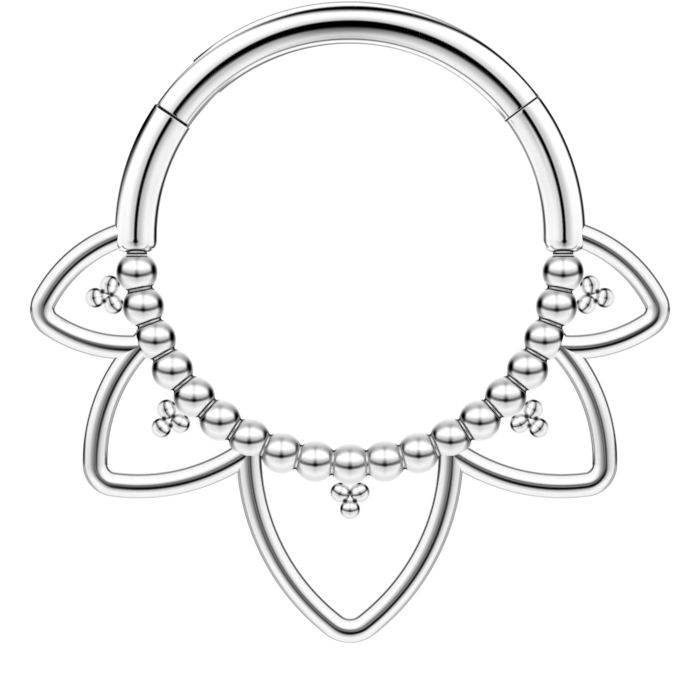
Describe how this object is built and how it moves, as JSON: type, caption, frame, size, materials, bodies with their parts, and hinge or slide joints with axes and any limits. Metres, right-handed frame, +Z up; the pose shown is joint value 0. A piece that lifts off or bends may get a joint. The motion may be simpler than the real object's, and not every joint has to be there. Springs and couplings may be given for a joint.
{
  "type": "hinged septum ring",
  "caption": "Flat septum ring in mirror-polished steel: a plain wire arc that swings open on a hidden hinge, a beaded lower half, pointed wire petals and small grain clusters.",
  "frame": {"origin": "middle of the bounding box, at its bottom, where the ring lies flat on a surface", "axes": "+Z up along the ring's axis, +Y from the middle petal to the top of the plain arc, +X to the wearer's left, towards the latch joint"},
  "size_m": [0.018, 0.018, 0.0012],
  "materials": {
    "polished_steel": "mirror-polished stainless steel with fine polishing hairlines",
    "pin_steel": "drawn stainless wire, ends ground flush inside the cheeks"
  },
  "bodies": {
    "ring": {"ring_body": "polished_steel", "hinge_pin": "pin_steel"},
    "segment": {"hinged_segment": "polished_steel"}
  },
  "joints": [
    {"name": "segment_hinge", "type": "hinge", "parent": "ring", "child": "segment", "pos_m": [-0.00472, 0.00656, 0.0006], "axis": [0, 0, 1], "range_deg": [0, 100]}
  ]
}
